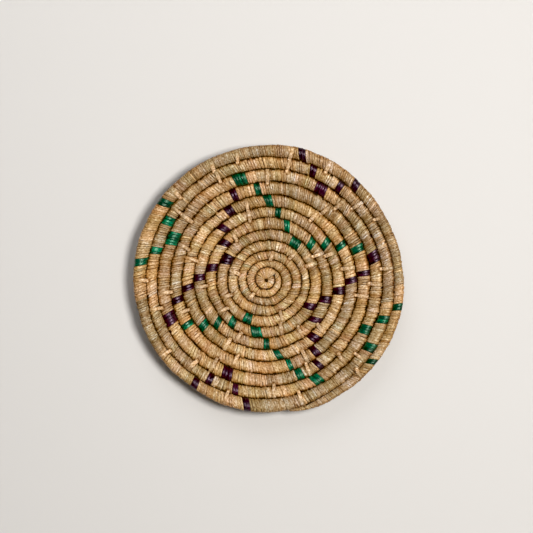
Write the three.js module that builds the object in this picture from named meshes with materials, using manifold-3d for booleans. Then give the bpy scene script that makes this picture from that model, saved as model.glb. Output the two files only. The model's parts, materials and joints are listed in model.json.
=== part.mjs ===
// Round coiled wall basket: one fibre core wound in a flat spiral that rises to a shallow dish,
// wrapped in natural strands, with green and purple strands worked in as a four-fold star.
// Millimetres. The disc stands upright as it hangs: +Z is up, +X is right as seen from the front,
// the hollow front faces -Y and the flat back lies on the wall plane Y = 0.
import * as THREE from "three";
import { mergeVertices } from "three/addons/utils/BufferGeometryUtils.js";
import Module from "manifold-3d";

// The dish
const FLAT_RADIUS = 60; // the base lies flat on the wall out to here
const RISE_RUN = 90; // the rise is measured this far outside the flat base
const RISE = 24; // how far forward the cord's middle comes over that run

// The wound cord, seen as rows
const TURNS = 12;
const END_ANGLE = 170; // where the tail ends, degrees clockwise from the top
const START_ANGLE = 54; // where the first turn leaves the centre button
const SPIRAL_RADIUS = 5.9; // the spiral's inner edge, continued to its zeroth turn
const CORD_AT_START = 8.35; // room that one row takes at the start
const CORD_GROWTH = 0.74; // how much wider a row gets with each turn
const CORD_FULL = 14.5; // room that one row takes once the cord is full
const ROW_GAP = 0.5; // free space between neighbouring rows
const BUTTON_RADIUS = 10; // the centre button that the first turn winds round

// The tail
const TAIL_TURNS = 0.4; // the last row thins over this much of a turn before its end
const TAIL_THIN_OVER = 0.3; // turns that it thins over
const TAIL_WIDTH = 0.76; // width of the thinned row against a full one
const TIP_TURNS = 0.035; // length of the bound tip, in turns
const TIP_WIDTH = 0.3; // width of the tip's end against a full row
const TAIL_THIN_FROM = TURNS - TAIL_TURNS;
const TIP_FROM = TURNS - TIP_TURNS;

// Layers of the cord, counted inwards from its outside
const WRAP_WALL = 1.5; // natural wrap
const BAND_WALL = 0.6; // green and purple bands
const CLEARANCE = 0.3; // between any two layers
const BRIDGE_WIDTH = 2.4; // natural strand carried on under a coloured band
const BRIDGE_LIFT = 0.05; // the strand lies this far outside the bore of the wrap
const CARRIER_WIDTH = 3; // coloured strand carried on under the natural wrap
const CARRIER_THICK = 0.8;
const END_GAP = 0.35; // between the ends of neighbouring wraps
const TUCK = 1.6; // how far a carried strand runs on inside its own wrap or band
const LANE_OVER = 0.4; // turns over which the core starts to leave room for carried strands
const CORE_INSET = 2; // the core starts this far inside its wrap

// Facets
const COARSE_STEP = 36; // degrees per step on the first turns
const FINE_STEP = 18; // degrees per step on the others
const FINE_FROM = 2; // turn at which the fine steps begin
const DIMPLE_SIDES = 8;
const ROD_SIDES = 6;
const ARC_PIECES = 3; // straight pieces in each arc of the hanging loop
const EYE_PIECES = 6; // straight pieces in a quarter of a stitch's eye

// The natural wraps meet at this angle, where no coloured band lies
const SEAM_ANGLE = 134.5;

// The centre button
const BUTTON_EDGE = 1.2; // bevel of its rims
const DIMPLE_RADIUS = 1.6;
const DIMPLE_FLOOR_RADIUS = 0.7;
const DIMPLE_DEPTH = 4.2;

// The hanging loop and the two stitches that hold its bar
const LOOP_COUNT = 10; // the row, straight above the centre, that the loop is sewn to
const LOOP_WIDTH = 24; // between the middles of its legs
const LOOP_HEIGHT = 20; // from the bar's middle to the top of its arch
const LOOP_ROD_RADIUS = 1.6;
const LOOP_CORNER_RADIUS = 3;
const STITCH_SPREAD = 14; // between the middles of the two stitches
const STITCH_LENGTH = 4.5;
const STITCH_WALL = 1;
const STITCH_PLAY = 0.4; // running clearance round the bar

const NATURAL = { color: 0xb08c62, roughness: 0.62, metalness: 0 };
const OLIVE = { color: 0x9d8560, roughness: 0.66, metalness: 0 };
const GREEN = { color: 0x04623c, roughness: 0.45, metalness: 0 };
const PURPLE = { color: 0x3a1638, roughness: 0.45, metalness: 0 };
const CORE = { color: 0x8a6c45, roughness: 0.85, metalness: 0 };

// Coloured strands. Each runs through one or two bands of its row, given as [turn count, from, to]
// with angles in degrees clockwise from the top. The turn count is that of the row's end, so an
// angle past END_ANGLE belongs to the turn after it.
const STRANDS = [
  ["green_star_upper_right_turn_5", GREEN, [[5, 31.4, 44.2]]],
  ["green_star_upper_right_turn_6", GREEN, [[6, 18, 23.8], [6, 47.4, 54.2]]],
  ["green_star_upper_right_turn_7", GREEN, [[7, 7.4, 12.2], [7, 55.8, 61.2]]],
  ["green_star_upper_right_turn_8", GREEN, [[8, -1.2, 4.6], [8, 63, 67.4]]],
  ["green_star_upper_right_turn_9", GREEN, [[9, -7.2, -3.4], [9, 69, 73.4]]],
  ["purple_star_lower_right_turn_5", PURPLE, [[5, 117, 124.8]]],
  ["purple_star_lower_right_turn_6", PURPLE, [[6, 104.8, 111.4], [6, 126.4, 132]]],
  ["purple_star_lower_right_turn_7", PURPLE, [[7, 95.4, 101.4], [7, 137.2, 143.6]]],
  ["purple_star_lower_right_turn_8", PURPLE, [[8, 88.2, 92.4], [8, 143.4, 147.8]]],
  ["purple_star_lower_right_turn_9", PURPLE, [[9, 84.4, 87.6], [9, 147, 150]]],
  ["green_star_lower_left_turn_5", GREEN, [[4, 200.4, 211.4]]],
  ["green_star_lower_left_turn_6", GREEN, [[5, 185.4, 196.8], [5, 215, 222.6]]],
  ["green_star_lower_left_turn_7", GREEN, [[6, 177.4, 182.4], [6, 226.2, 231.4]]],
  ["green_star_lower_left_turn_8", GREEN, [[7, 168.6, 173.4], [7, 231.6, 237]]],
  ["green_star_lower_left_turn_9", GREEN, [[8, 163, 166.2], [8, 238.8, 242.6]]],
  ["green_star_lower_left_turn_10", GREEN, [[9, 158.6, 162.6]]],
  ["purple_star_upper_left_turn_5", PURPLE, [[4, 291.4, 304.8]]],
  ["purple_star_upper_left_turn_6", PURPLE, [[5, 279, 287.4], [5, 308.4, 315.6]]],
  ["purple_star_upper_left_turn_7", PURPLE, [[6, 269.4, 275.4], [6, 317.8, 323.8]]],
  ["purple_star_upper_left_turn_8", PURPLE, [[7, 262.6, 267], [7, 329.4, 335.4]]],
  ["purple_star_upper_left_turn_9", PURPLE, [[8, 255.6, 259.8], [8, 337.4, 341.4]]],
  ["purple_rim_upper_right_turn_10", PURPLE, [[10, 27.6, 34.2], [10, 75, 81]]],
  ["purple_rim_upper_right_turn_11", PURPLE, [[11, 21.6, 24.8], [11, 36.6, 39.6]]],
  ["purple_rim_upper_right_turn_12", PURPLE, [[12, 14.6, 17.8], [12, 41.8, 45.1]]],
  ["green_rim_lower_right_turn_10", GREEN, [[10, 114, 119], [10, 150.6, 155.8]]],
  ["green_rim_lower_right_turn_11", GREEN, [[11, 106.8, 110.6], [11, 121, 125.2]]],
  ["green_rim_lower_right_turn_12", GREEN, [[12, 100.2, 103.2], [12, 126.6, 129.2]]],
  ["purple_rim_lower_left_turn_10", PURPLE, [[9, 199.8, 205.8], [9, 245, 252]]],
  ["purple_rim_lower_left_turn_11", PURPLE, [[10, 194.4, 197.5], [10, 208.2, 211.4]]],
  ["purple_rim_lower_left_turn_12", PURPLE, [[11, 187.8, 191], [11, 213.2, 216.4]]],
  ["green_rim_upper_left_turn_10", GREEN, [[9, 290.4, 298.2], [9, 342.2, 349.2]]],
  ["green_rim_upper_left_turn_11", GREEN, [[10, 283.4, 287], [10, 299, 303.6]]],
  ["green_rim_upper_left_turn_12", GREEN, [[11, 277, 280.3], [11, 306, 309.4]]],
];

const DEGREE = Math.PI / 180;
const HALF = 0.5;
const NEAR = 1e-6; // turns or millimetres that count as none
const WELD = 1e-4; // millimetres apart at which two points are one
const HEX_WIDTH = 2 / Math.sqrt(3); // corner to corner of a hexagon against its thickness
const SLANT = Math.tan(30 * DEGREE); // how a hexagon's side falls in with its height

const wasm = await Module();
wasm.setup();

const turnAt = (count, angle) => count + (angle - END_ANGLE) / 360;
const angleAt = (turn) => turn * 360 + END_ANGLE;
const START_TURN = turnAt(1, START_ANGLE);
const LOOP_TURN = turnAt(LOOP_COUNT, 0);

// Where the coloured bands start and end, as turns, in order along the cord.
const strandSpans = (bands) =>
  bands.map(([count, from, to]) => [turnAt(count, from), turnAt(count, to)]);
const shownStrands = STRANDS.filter(([, , bands]) =>
  strandSpans(bands).every(([, end]) => end < TIP_FROM),
);
const allBands = shownStrands.flatMap(([, , bands]) => strandSpans(bands));
allBands.sort((a, b) => a[0] - b[0]);
const LANE_FROM = allBands[0][0] - 2 * LANE_OVER;

// Slope of the dish at a distance from its middle.
function slopeAt(radius) {
  return (2 * RISE * Math.max(0, radius - FLAT_RADIUS)) / RISE_RUN ** 2;
}

// Edges between rows, as a radius for each turn. A row keeps its width along the slope, so the
// rows draw closer together, seen from the front, where the dish rises.
const EDGE_STEPS_PER_TURN = 96;
const edges = [SPIRAL_RADIUS];
for (let i = 0; i < (TURNS + 1) * EDGE_STEPS_PER_TURN; i += 1) {
  const turn = (i + HALF) / EDGE_STEPS_PER_TURN;
  const row = Math.min(CORD_AT_START + CORD_GROWTH * turn, CORD_FULL);
  const radius = edges[i];
  edges.push(radius + row / Math.hypot(1, slopeAt(radius)) / EDGE_STEPS_PER_TURN);
}

function edgeAt(turn) {
  const place = Math.max(0, turn) * EDGE_STEPS_PER_TURN;
  const i = Math.min(Math.floor(place), edges.length - 2);
  const radius = THREE.MathUtils.lerp(edges[i], edges[i + 1], place - i);
  return Math.max(radius, BUTTON_RADIUS);
}

// How wide the row is against a full one, near the tail.
function tailWidth(turn) {
  const thin = THREE.MathUtils.smoothstep(turn, TAIL_THIN_FROM, TAIL_THIN_FROM + TAIL_THIN_OVER);
  const width = THREE.MathUtils.lerp(1, TAIL_WIDTH, thin);
  const tip = THREE.MathUtils.clamp((turn - TIP_FROM) / (TURNS - TIP_FROM), 0, 1);
  return THREE.MathUtils.lerp(width, TIP_WIDTH, tip);
}

// The cord's hexagonal section at a turn: its middle, the directions along and out of the dish's
// surface, and the distance from its middle to its faces.
function sectionAt(turn) {
  const inner = edgeAt(turn - HALF);
  const outer = inner + (edgeAt(turn + HALF) - inner) * tailWidth(turn);
  const radius = (inner + outer) / 2;
  const slope = slopeAt(radius);
  const tilt = Math.atan(slope);
  const width = (outer - inner) / Math.cos(tilt) - ROW_GAP;
  const apothem = width / HEX_WIDTH / 2;
  const angle = angleAt(turn) * DEGREE;
  const outward = new THREE.Vector3(Math.sin(angle), 0, Math.cos(angle));
  const rise = RISE * (Math.max(0, radius - FLAT_RADIUS) / RISE_RUN) ** 2;
  const middle = outward.clone().multiplyScalar(radius);
  middle.y = -apothem - rise;
  const along = outward.clone().multiplyScalar(Math.cos(tilt));
  along.y = -Math.sin(tilt);
  const front = outward.clone().multiplyScalar(-Math.sin(tilt));
  front.y = -Math.cos(tilt);
  return { turn, middle, along, front, apothem };
}

// The corners of the winding's path: every layer turns at the same places, so that none cuts
// into the next.
const corners = [START_TURN];
while (corners[corners.length - 1] < TURNS) {
  const last = corners[corners.length - 1];
  const step = last < turnAt(FINE_FROM, START_ANGLE) - NEAR ? COARSE_STEP : FINE_STEP;
  corners.push(Math.min(last + step / 360, TURNS));
}
const sections = corners.map(sectionAt);

function cornerBefore(turn) {
  const next = corners.findIndex((corner) => corner > turn + NEAR);
  return next < 0 ? corners.length - 2 : Math.max(next - 1, 0);
}

// One ring of points where a shape, a list of [along, front] drawn for a face distance, crosses
// the path at a turn. Between two corners of the path the ring lies on the straight line.
function ringAt(turn, shape) {
  const i = cornerBefore(turn);
  const share = (turn - corners[i]) / (corners[i + 1] - corners[i]);
  const place = (section, [a, b]) =>
    section.middle.clone().addScaledVector(section.along, a).addScaledVector(section.front, b);
  const before = shape(sections[i]).map((point) => place(sections[i], point));
  const after = shape(sections[i + 1]).map((point) => place(sections[i + 1], point));
  return before.map((point, k) => point.clone().lerp(after[k], share));
}

function stationsBetween(from, to) {
  const inside = corners.filter((corner) => corner > from + NEAR && corner < to - NEAR);
  return [from, ...inside, to];
}

// Shapes of the layers, all drawn the same way round.
function hexagon(apothem, back = apothem) {
  const corner = apothem * HEX_WIDTH;
  const cut = corner - back * SLANT;
  return [
    [corner, 0],
    [corner / 2, apothem],
    [-corner / 2, apothem],
    [-corner, 0],
    [-cut, -back],
    [cut, -back],
  ];
}

function bar(halfWidth, low, high) {
  return [
    [halfWidth, low],
    [halfWidth, high],
    [-halfWidth, high],
    [-halfWidth, low],
  ];
}

const cordOutside = ({ apothem }) => hexagon(apothem);
const wrapBore = ({ apothem }) => hexagon(apothem - WRAP_WALL);

// Half of the cord's inside, from its middle to what the wrap leaves free.
const innerReach = (apothem) => apothem - WRAP_WALL - CLEARANCE;

// The core leaves room at the back for a carried strand.
function coreShape({ apothem, turn }) {
  const reach = innerReach(apothem);
  const opened = THREE.MathUtils.clamp((turn - LANE_FROM) / LANE_OVER, 0, 1);
  return hexagon(reach, reach - opened * (CARRIER_THICK + CLEARANCE));
}

// A band is thick at the back, where the carried strand comes out into it.
function bandBore({ apothem }) {
  return hexagon(apothem - BAND_WALL, innerReach(apothem) - CARRIER_THICK / 2);
}

// The natural strand under a band lies inside the thickness of the wrap, at the front.
function bridgeShape({ apothem }) {
  const low = apothem - WRAP_WALL + BRIDGE_LIFT;
  return bar(BRIDGE_WIDTH / 2, low, apothem - BAND_WALL - CLEARANCE);
}

// The coloured strand between two bands lies behind the core.
function carrierShape({ apothem }) {
  const back = innerReach(apothem);
  return bar(CARRIER_WIDTH / 2, -back, -back + CARRIER_THICK);
}

// A closed surface from rings of points, each with the same number of points.
function surface(rings, holeRings = null) {
  const sides = rings[0].length;
  const points = rings.flat();
  const faces = [];
  const skin = (first, count, flip) => {
    for (let i = 0; i + 1 < count; i += 1) {
      for (let k = 0; k < sides; k += 1) {
        const a = first + i * sides + k;
        const b = first + i * sides + ((k + 1) % sides);
        const quad = flip ? [b, a, a + sides, b + sides] : [a, b, b + sides, a + sides];
        faces.push([quad[0], quad[1], quad[2]], [quad[0], quad[2], quad[3]]);
      }
    }
  };
  skin(0, rings.length, false);
  const last = (rings.length - 1) * sides;
  if (holeRings) {
    const hole = points.length;
    points.push(...holeRings.flat());
    skin(hole, holeRings.length, true);
    for (let k = 0; k < sides; k += 1) {
      const n = (k + 1) % sides;
      faces.push([n, k, hole + k], [n, hole + k, hole + n]);
      const end = hole + last;
      faces.push([last + k, last + n, end + n], [last + k, end + n, end + k]);
    }
  } else {
    for (let k = 1; k + 1 < sides; k += 1) {
      faces.push([0, k + 1, k], [last, last + k, last + k + 1]);
    }
  }
  const geometry = new THREE.BufferGeometry().setFromPoints(points);
  geometry.setIndex(faces.flat());
  return geometry;
}

function loft(from, to, shape, holeShape = null) {
  const stations = stationsBetween(from, to);
  const rings = stations.map((turn) => ringAt(turn, shape));
  const holes = holeShape && stations.map((turn) => ringAt(turn, holeShape));
  return surface(rings, holes);
}

function solidOf(geometry) {
  const bare = new THREE.BufferGeometry();
  bare.setAttribute("position", geometry.getAttribute("position"));
  bare.setIndex(geometry.getIndex());
  const merged = mergeVertices(bare, WELD);
  return new wasm.Manifold(
    new wasm.Mesh({
      numProp: 3,
      vertProperties: new Float32Array(merged.attributes.position.array),
      triVerts: new Uint32Array(merged.index.array),
    }),
  );
}

function geometryOf(solid) {
  const mesh = solid.getMesh();
  const geometry = new THREE.BufferGeometry();
  geometry.setAttribute("position", new THREE.BufferAttribute(mesh.vertProperties, 3));
  geometry.setIndex(new THREE.BufferAttribute(mesh.triVerts, 1));
  return geometry;
}

const joined = (geometries) =>
  geometryOf(geometries.map(solidOf).reduce((whole, piece) => whole.add(piece)));

// Millimetres along the cord as a share of a turn.
function turnsFor(length, turn) {
  return length / (Math.PI * (edgeAt(turn - HALF) + edgeAt(turn + HALF)));
}

// A natural wrap from one turn to another: it stops at each coloured band, and its strand is
// carried on under the band.
function naturalWrap(from, to) {
  const bands = allBands.filter(([start, end]) => start > from && end < to);
  const starts = [from, ...bands.map(([, end]) => end + turnsFor(END_GAP, end))];
  const ends = [...bands.map(([start]) => start - turnsFor(END_GAP, start)), to];
  const sleeves = starts.map((start, i) => loft(start, ends[i], cordOutside, wrapBore));
  const bridges = bands.map(([start, end]) =>
    loft(start - turnsFor(TUCK, start), end + turnsFor(TUCK, end), bridgeShape),
  );
  return joined([...sleeves, ...bridges]);
}

// A coloured strand: its bands, and what it is carried on between them.
function colouredStrand(bands) {
  const spans = strandSpans(bands);
  const rings = spans.map(([start, end]) => loft(start, end, cordOutside, bandBore));
  if (spans.length === 1) {
    return joined(rings);
  }
  const from = spans[0][1] - turnsFor(TUCK, spans[0][1]);
  const to = spans[1][0] + turnsFor(TUCK, spans[1][0]);
  return joined([...rings, loft(from, to, carrierShape)]);
}

// The button in the middle is a snail: its rim follows the first row's inner edge for one turn.
function centreButton() {
  const thickness = 2 * sections[0].apothem + BUTTON_EDGE;
  const stations = corners.filter((corner) => corner < START_TURN + 1 + NEAR);
  const outline = (inset, depth) =>
    stations.map((turn, i) => {
      const radius = edgeAt(turn - HALF) - ROW_GAP / 2 - inset;
      const short = i === stations.length - 1 ? END_GAP / radius : 0;
      const angle = angleAt(turn) * DEGREE - short;
      return new THREE.Vector3(radius * Math.sin(angle), -depth, radius * Math.cos(angle));
    });
  const body = surface([
    outline(BUTTON_EDGE, thickness),
    outline(0, thickness - BUTTON_EDGE),
    outline(0, BUTTON_EDGE),
    outline(BUTTON_EDGE, 0),
  ]);
  const mouth = -thickness - BUTTON_EDGE;
  const floor = -thickness + DIMPLE_DEPTH;
  const profile = [
    new THREE.Vector2(0, mouth),
    new THREE.Vector2(DIMPLE_RADIUS, mouth),
    new THREE.Vector2(DIMPLE_FLOOR_RADIUS, floor),
    new THREE.Vector2(0, floor),
  ];
  const dimple = new THREE.LatheGeometry(profile, DIMPLE_SIDES);
  return geometryOf(solidOf(body).subtract(solidOf(dimple)));
}

// The place on the back of the loop's row, beside the middle, where a stitch sits.
function stitchSeat() {
  const turn = LOOP_TURN + turnsFor(STITCH_SPREAD / 2, LOOP_TURN);
  const i = cornerBefore(turn);
  const share = (turn - corners[i]) / (corners[i + 1] - corners[i]);
  const back = ({ apothem }) => [[0, -apothem]];
  const [point] = ringAt(turn, back);
  const front = sections[i].front.clone().lerp(sections[i + 1].front, share);
  const tilt = Math.atan2(Math.hypot(front.x, front.z), -front.y);
  return { y: point.y, z: point.z, tilt };
}

// The bar's middle stands off the seat by the stitch's own wall and play.
function barPlace() {
  const seat = stitchSeat();
  const standOff = CLEARANCE + STITCH_WALL + STITCH_PLAY + LOOP_ROD_RADIUS;
  return {
    y: seat.y + standOff * Math.cos(seat.tilt),
    z: seat.z + standOff * Math.sin(seat.tilt),
    tilt: seat.tilt,
  };
}

// A closed loop of round rod: a straight bar below, two legs and an arch above.
function hangingLoop() {
  const half = LOOP_WIDTH / 2;
  const arch = new THREE.Path();
  arch.moveTo(-half + LOOP_CORNER_RADIUS, 0);
  arch.lineTo(half - LOOP_CORNER_RADIUS, 0);
  arch.absarc(half - LOOP_CORNER_RADIUS, LOOP_CORNER_RADIUS, LOOP_CORNER_RADIUS, -Math.PI / 2, 0);
  arch.lineTo(half, LOOP_HEIGHT - half);
  arch.absarc(0, LOOP_HEIGHT - half, half, 0, Math.PI);
  arch.lineTo(-half, LOOP_CORNER_RADIUS);
  arch.absarc(
    -half + LOOP_CORNER_RADIUS,
    LOOP_CORNER_RADIUS,
    LOOP_CORNER_RADIUS,
    Math.PI,
    Math.PI * 1.5,
  );
  const drawn = arch.getPoints(ARC_PIECES);
  const route = drawn.filter((point, i) => point.distanceTo(drawn[(i + 1) % drawn.length]) > NEAR);
  const place = barPlace();
  const rings = route.map((point, i) => {
    const before = route[(i + route.length - 1) % route.length];
    const after = route[(i + 1) % route.length];
    const heading = after.clone().sub(before).normalize();
    return Array.from({ length: ROD_SIDES }, (_, k) => {
      const turn = (2 * Math.PI * (k + HALF)) / ROD_SIDES;
      const out = LOOP_ROD_RADIUS * Math.cos(turn);
      return new THREE.Vector3(
        point.x + out * heading.y,
        place.y + LOOP_ROD_RADIUS * Math.sin(turn),
        place.z + point.y - out * heading.x,
      );
    });
  });
  const points = rings.flat();
  const faces = [];
  rings.forEach((_, i) => {
    const next = (i + 1) % rings.length;
    const [here, there] = [i * ROD_SIDES, next * ROD_SIDES];
    for (let k = 0; k < ROD_SIDES; k += 1) {
      const n = (k + 1) % ROD_SIDES;
      const quad = [here + k, here + n, there + n, there + k];
      faces.push(quad[0], quad[1], quad[2], quad[0], quad[2], quad[3]);
    }
  });
  return new THREE.BufferGeometry().setFromPoints(points).setIndex(faces);
}

// A stitch is a flat loop of strand round the bar, lying on the back of the row.
function loopStitch(side) {
  const place = barPlace();
  const bore = LOOP_ROD_RADIUS + STITCH_PLAY;
  const half = bore + STITCH_WALL;
  const outline = new THREE.Shape();
  outline.moveTo(-half, -half);
  outline.lineTo(half, -half);
  outline.lineTo(half, half - STITCH_WALL);
  outline.lineTo(half - STITCH_WALL, half);
  outline.lineTo(-half + STITCH_WALL, half);
  outline.lineTo(-half, half - STITCH_WALL);
  const eye = new THREE.Path().absarc(0, 0, bore, 0, 2 * Math.PI, true);
  outline.holes.push(eye);
  const geometry = new THREE.ExtrudeGeometry(outline, {
    depth: STITCH_LENGTH,
    bevelEnabled: false,
    curveSegments: EYE_PIECES,
  });
  geometry.translate(0, 0, -STITCH_LENGTH / 2);
  const frame = new THREE.Matrix4().makeBasis(
    new THREE.Vector3(0, -Math.sin(place.tilt), Math.cos(place.tilt)),
    new THREE.Vector3(0, Math.cos(place.tilt), Math.sin(place.tilt)),
    new THREE.Vector3(-1, 0, 0),
  );
  frame.setPosition((side * STITCH_SPREAD) / 2, place.y, place.z);
  geometry.applyMatrix4(frame);
  return geometry;
}

// Least distance between points of the winding that lie half a turn or more apart along it.
function leastGap(shape) {
  const rings = corners.map((turn) => ringAt(turn, shape));
  let least = Infinity;
  rings.forEach((ring, i) => {
    for (let j = i + 1; j < rings.length; j += 1) {
      if (corners[j] - corners[i] > HALF && corners[j] - corners[i] < 1.5) {
        ring.forEach((p) => rings[j].forEach((q) => (least = Math.min(least, p.distanceTo(q)))));
      }
    }
  });
  return least;
}

const basket = new THREE.Group();

function addPiece(name, geometry, finish) {
  const mesh = new THREE.Mesh(geometry, new THREE.MeshStandardMaterial(finish));
  mesh.name = name;
  basket.add(mesh);
}

const coreFrom = START_TURN + turnsFor(CORE_INSET, START_TURN);
addPiece("core_coil", loft(coreFrom, TIP_FROM, coreShape), CORE);
addPiece("centre_button", centreButton(), NATURAL);

const seams = [START_TURN];
for (let count = 2; count <= TURNS; count += 1) {
  seams.push(turnAt(count, SEAM_ANGLE));
}
seams.slice(0, -1).forEach((seam, i) => {
  const from = i === 0 ? seam : seam + turnsFor(END_GAP, seam);
  const name = "natural_wrap_turn_" + (i + 1);
  addPiece(name, naturalWrap(from, seams[i + 1]), i % 2 ? OLIVE : NATURAL);
});

const tailFrom = seams[seams.length - 1] + turnsFor(END_GAP, TURNS);
const bindingFrom = TIP_FROM + turnsFor(END_GAP, TURNS);
addPiece("tail_wrap", naturalWrap(tailFrom, TIP_FROM), NATURAL);
addPiece("tail_binding", loft(bindingFrom, TURNS, cordOutside), NATURAL);

shownStrands.forEach(([name, finish, bands]) => addPiece(name, colouredStrand(bands), finish));

addPiece("hanging_loop", hangingLoop(), NATURAL);
addPiece("loop_stitch_left", loopStitch(-1), NATURAL);
addPiece("loop_stitch_right", loopStitch(1), NATURAL);

console.log("least gap of the core to itself, mm: " + leastGap(coreShape).toFixed(2));
console.log("least gap between wrapped rows, mm: " + leastGap(cordOutside).toFixed(2));

export default basket;
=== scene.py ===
import json
import math

import bpy
import numpy as np
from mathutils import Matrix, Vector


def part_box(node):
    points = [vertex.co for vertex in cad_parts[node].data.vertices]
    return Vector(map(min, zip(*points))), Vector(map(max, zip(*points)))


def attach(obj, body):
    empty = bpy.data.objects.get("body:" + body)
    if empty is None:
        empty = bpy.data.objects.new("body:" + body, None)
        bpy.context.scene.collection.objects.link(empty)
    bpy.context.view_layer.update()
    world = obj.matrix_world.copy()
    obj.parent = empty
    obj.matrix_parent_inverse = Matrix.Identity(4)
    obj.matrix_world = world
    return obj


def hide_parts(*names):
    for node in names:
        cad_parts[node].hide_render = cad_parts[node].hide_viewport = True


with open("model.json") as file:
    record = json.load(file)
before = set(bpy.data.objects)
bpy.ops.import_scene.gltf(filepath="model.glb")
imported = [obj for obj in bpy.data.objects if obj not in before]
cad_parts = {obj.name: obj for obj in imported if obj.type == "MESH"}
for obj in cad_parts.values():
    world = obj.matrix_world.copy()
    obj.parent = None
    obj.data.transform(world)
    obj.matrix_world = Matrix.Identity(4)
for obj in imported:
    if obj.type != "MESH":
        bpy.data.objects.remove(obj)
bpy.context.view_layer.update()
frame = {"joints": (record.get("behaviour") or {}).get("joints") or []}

# Round coiled wall basket, dressed. Millimetres until a mesh is made. Seen from the front +X is
# right and +Z is up, the hollow front faces -Y and the flat back lies on the wall plane Y = 0.
MM = 0.001

# The dish and the winding, as in the part's source
FLAT_RADIUS = 60
RISE_RUN = 90
RISE = 24
TURNS = 12
END_ANGLE = 170
START_ANGLE = 54
SPIRAL_RADIUS = 5.9
CORD_AT_START = 8.35
CORD_GROWTH = 0.74
CORD_FULL = 14.5
ROW_GAP = 0.5
BUTTON_RADIUS = 10
TAIL_THIN_FROM = 11.6
TAIL_THIN_OVER = 0.3
TAIL_WIDTH = 0.76
TIP_FROM = 11.965
TIP_WIDTH = 0.3
WRAP_WALL = 1.5
BAND_WALL = 0.6
CLEARANCE = 0.3
BRIDGE_WIDTH = 2.4
CARRIER_WIDTH = 3
CARRIER_THICK = 0.8
TUCK = 1.6
SEAM_ANGLE = 134.5
LOOP_WIDTH = 24
LOOP_HEIGHT = 20
LOOP_ROD_RADIUS = 1.6
LOOP_CORNER_RADIUS = 3
STITCH_RADIUS = 2.5
STITCH_LENGTH = 4.5

# The loop as dressed: its cord's share under the laps, and its stitches' rings
LOOP_UNDER_LAPS = 0.8
LOOP_LEAN = 0.5
LOOP_LOOK = 0.3
CORNER_STEPS = 9
ARCH_STEPS = 33
RING_COUNT = 3
RING_SIZE = (0.42, STITCH_LENGTH / 6.4)

# Laps of the strand round the cord
LAP_HEIGHT = 0.29
LAP_GAP = 0.12
SQUARENESS = 2.05
ROW_TOUCH = 0.3
SIDES = 26
STRAND_GIRTH = 40
LAP_LEAN = -1.7
THICK_ENOUGH = 3.3

# Coloured strands, in sets: name with the dye first, the first strand's number and the turn that
# its bands lie in. Then for each strand where its bands begin and end, in degrees clockwise.
STRAND_SETS = [
    ("green_star_upper_right", 5, 5, [
        (31.4, 44.2), (18, 23.8, 47.4, 54.2), (7.4, 12.2, 55.8, 61.2), (-1.2, 4.6, 63, 67.4),
        (-7.2, -3.4, 69, 73.4),
    ]),
    ("purple_star_lower_right", 5, 5, [
        (117, 124.8), (104.8, 111.4, 126.4, 132), (95.4, 101.4, 137.2, 143.6),
        (88.2, 92.4, 143.4, 147.8), (84.4, 87.6, 147, 150),
    ]),
    ("green_star_lower_left", 5, 4, [
        (200.4, 211.4), (185.4, 196.8, 215, 222.6), (177.4, 182.4, 226.2, 231.4),
        (168.6, 173.4, 231.6, 237), (163, 166.2, 238.8, 242.6), (158.6, 162.6),
    ]),
    ("purple_star_upper_left", 5, 4, [
        (291.4, 304.8), (279, 287.4, 308.4, 315.6), (269.4, 275.4, 317.8, 323.8),
        (262.6, 267, 329.4, 335.4), (255.6, 259.8, 337.4, 341.4),
    ]),
    ("purple_rim_upper_right", 10, 10, [
        (27.6, 34.2, 75, 81), (21.6, 24.8, 36.6, 39.6), (14.6, 17.8, 41.8, 45.1),
    ]),
    ("green_rim_lower_right", 10, 10, [
        (114, 119, 150.6, 155.8), (106.8, 110.6, 121, 125.2), (100.2, 103.2, 126.6, 129.2),
    ]),
    ("purple_rim_lower_left", 10, 9, [
        (199.8, 205.8, 245, 252), (194.4, 197.5, 208.2, 211.4), (187.8, 191, 213.2, 216.4),
    ]),
    ("green_rim_upper_left", 10, 9, [
        (290.4, 298.2, 342.2, 349.2), (283.4, 287, 299, 303.6), (277, 280.3, 306, 309.4),
    ]),
]

# Stretches of strand by tone: for each turn count, from which angle on each tone runs
TONE_STRETCHES = {
    1: {-360: "orange"},
    2: {0: "tan", 180: "olive", 246: "light"},
    3: {0: "tan", 180: "olive", 209: "orange", 247: "tan"},
    4: {0: "tan", 139: "yellow", 180: "orange", 211: "pink", 305: "olive"},
    5: {0: "olive", 83: "yellow", 125: "olive", 161: "pink", 223: "olive", 259: "yellow",
        316: "orange", 324: "tan"},
    6: {0: "olive", 24: "pink", 54: "olive", 111: "grey", 132: "light", 182: "pink", 231: "olive",
        275: "grey", 281: "yellow", 324: "tan"},
    7: {0: "tan", 12: "pink", 61: "grey", 79: "yellow", 144: "pink", 173: "light", 212: "olive",
        237: "grey", 267: "light", 335: "pink"},
    8: {0: "olive", 20: "orange", 67: "light", 92: "grey", 148: "olive", 166: "light",
        180: "orange", 243: "light", 260: "olive", 323: "light", 341: "orange"},
    9: {0: "olive", 73: "orange", 88: "tan", 150: "olive", 180: "light", 252: "pink", 298: "olive",
        323: "light"},
    10: {0: "tan", 34: "light", 42: "grey", 81: "tan", 119: "pink", 156: "light", 180: "tan",
         211: "olive", 256: "orange", 287: "olive", 342: "light"},
    11: {0: "tan", 40: "olive", 67: "grey", 100: "light", 111: "pink", 125: "grey", 180: "olive",
         191: "light", 216: "tan", 236: "grey", 262: "orange", 280: "yellow", 309: "olive"},
    12: {0: "olive", 10: "pink", 47: "olive", 90: "yellow", 103: "tan", 129: "olive"},
}

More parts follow.
